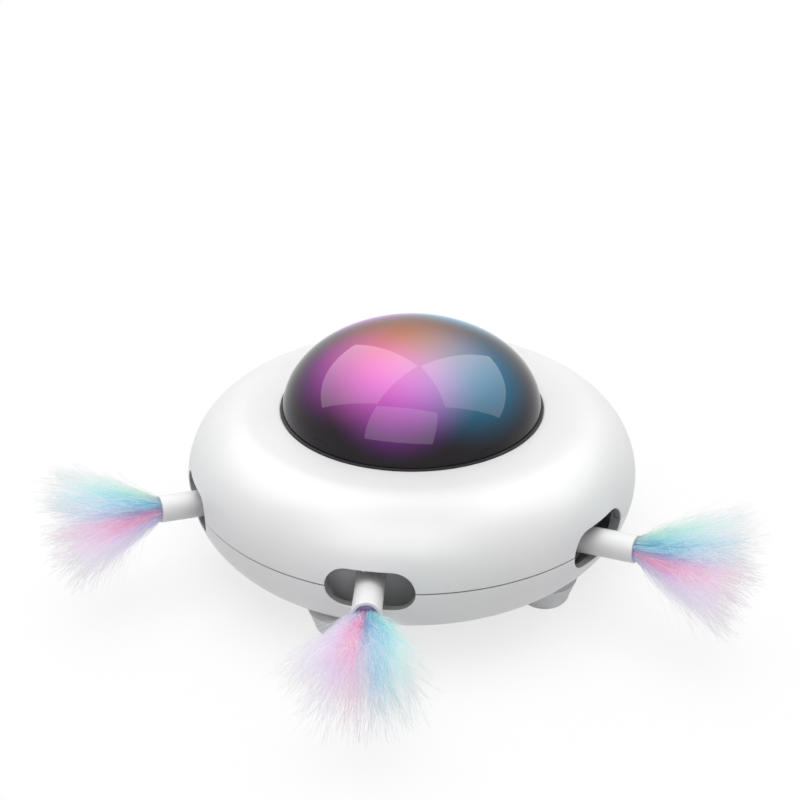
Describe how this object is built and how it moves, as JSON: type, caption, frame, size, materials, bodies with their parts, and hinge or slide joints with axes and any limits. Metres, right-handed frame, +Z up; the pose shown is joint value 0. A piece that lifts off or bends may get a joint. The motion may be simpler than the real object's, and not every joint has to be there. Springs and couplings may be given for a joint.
{
  "type": "automatic cat feather toy",
  "caption": "Saucer-shaped automatic cat toy: white shells with side slots, a smoked light dome, small feet, and feather wands that slide in and out.",
  "frame": {"origin": "on the floor, on the axis of the round body", "axes": "+Z up, -Y towards the front wand"},
  "size_m": [0.1926, 0.17, 0.068],
  "materials": {
    "white_plastic": "satin",
    "smoked_dome": "gloss",
    "black_rubber": "matte",
    "foot_rubber": "matte",
    "inner_plastic": "matte",
    "feather": "soft",
    "steel": "satin",
    "brass": "satin",
    "board": "satin",
    "led": "gloss",
    "diffuser": "matte",
    "cell_wrap": "satin"
  },
  "bodies": {
    "housing": {"lower_shell": "white_plastic", "upper_shell": "white_plastic", "wand_guide_left": "inner_plastic", "motor_cradle_left": "inner_plastic", "motor_strap_left": "steel", "motor_left": "steel", "wand_guide_front": "inner_plastic", "motor_cradle_front": "inner_plastic", "motor_strap_front": "steel", "motor_front": "steel", "wand_guide_right": "inner_plastic", "motor_cradle_right": "inner_plastic", "motor_strap_right": "steel", "motor_right": "steel", "dome_gasket": "black_rubber", "dome_lens": "smoked_dome", "light_tray": "inner_plastic", "light_board": "board", "leds": "led", "light_diffuser": "diffuser", "chassis": "inner_plastic", "slot_screens": "inner_plastic", "battery_cell": "cell_wrap", "battery_holder": "inner_plastic", "control_board": "board", "usb_inlet": "steel", "power_switch": "inner_plastic", "shell_screws": "steel", "chassis_screws": "steel", "tray_screws": "steel", "guide_screws": "steel", "foot_1": "foot_rubber", "foot_2": "foot_rubber", "foot_3": "foot_rubber", "foot_4": "foot_rubber", "foot_5": "foot_rubber"},
    "wand_left": {"wand_left": "white_plastic", "tuft_left": "feather"},
    "pinion_left": {"pinion_left": "brass", "pinion_shaft_left": "steel"},
    "wand_front": {"wand_front": "white_plastic", "tuft_front": "feather"},
    "pinion_front": {"pinion_front": "brass", "pinion_shaft_front": "steel"},
    "wand_right": {"wand_right": "white_plastic", "tuft_right": "feather"},
    "pinion_right": {"pinion_right": "brass", "pinion_shaft_right": "steel"},
    "power_button": {"power_button": "white_plastic", "switch_plunger": "inner_plastic"}
  },
  "joints": [
    {"name": "wand_left_slide", "type": "slide", "parent": "housing", "child": "wand_left", "axis": [-0.8576, -0.4951, 0.1392], "range_m": [-0.022, 0], "deforming": ["tuft_left"]},
    {"name": "pinion_left_turn", "type": "hinge", "parent": "housing", "child": "pinion_left", "pos_m": [-0.03253, -0.00839, 0.03146], "axis": [0.5, -0.866, 0], "range_deg": [0, 226]},
    {"name": "wand_front_slide", "type": "slide", "parent": "housing", "child": "wand_front", "axis": [0, -0.9903, 0.1392], "range_m": [-0.022, 0], "deforming": ["tuft_front"]},
    {"name": "pinion_front_turn", "type": "hinge", "parent": "housing", "child": "pinion_front", "pos_m": [-0.009, -0.03236, 0.03146], "axis": [1, 0, 0], "range_deg": [0, 226]},
    {"name": "wand_right_slide", "type": "slide", "parent": "housing", "child": "wand_right", "axis": [0.8576, -0.4951, 0.1392], "range_m": [-0.022, 0], "deforming": ["tuft_right"]},
    {"name": "pinion_right_turn", "type": "hinge", "parent": "housing", "child": "pinion_right", "pos_m": [0.02353, -0.02398, 0.03146], "axis": [0.5, 0.866, 0], "range_deg": [0, 226]},
    {"name": "power_button_press", "type": "slide", "parent": "housing", "child": "power_button", "axis": [0.3753, -0.9269, 0], "range_m": [0, 0.0005], "stiffness_N_per_m": 600, "springref_m": -0.0003}
  ],
  "couplings": [
    {"joint": "pinion_left_turn", "follows": "wand_left_slide", "rad_per_m": -178.57},
    {"joint": "pinion_front_turn", "follows": "wand_front_slide", "rad_per_m": -178.57},
    {"joint": "pinion_right_turn", "follows": "wand_right_slide", "rad_per_m": -178.57}
  ]
}
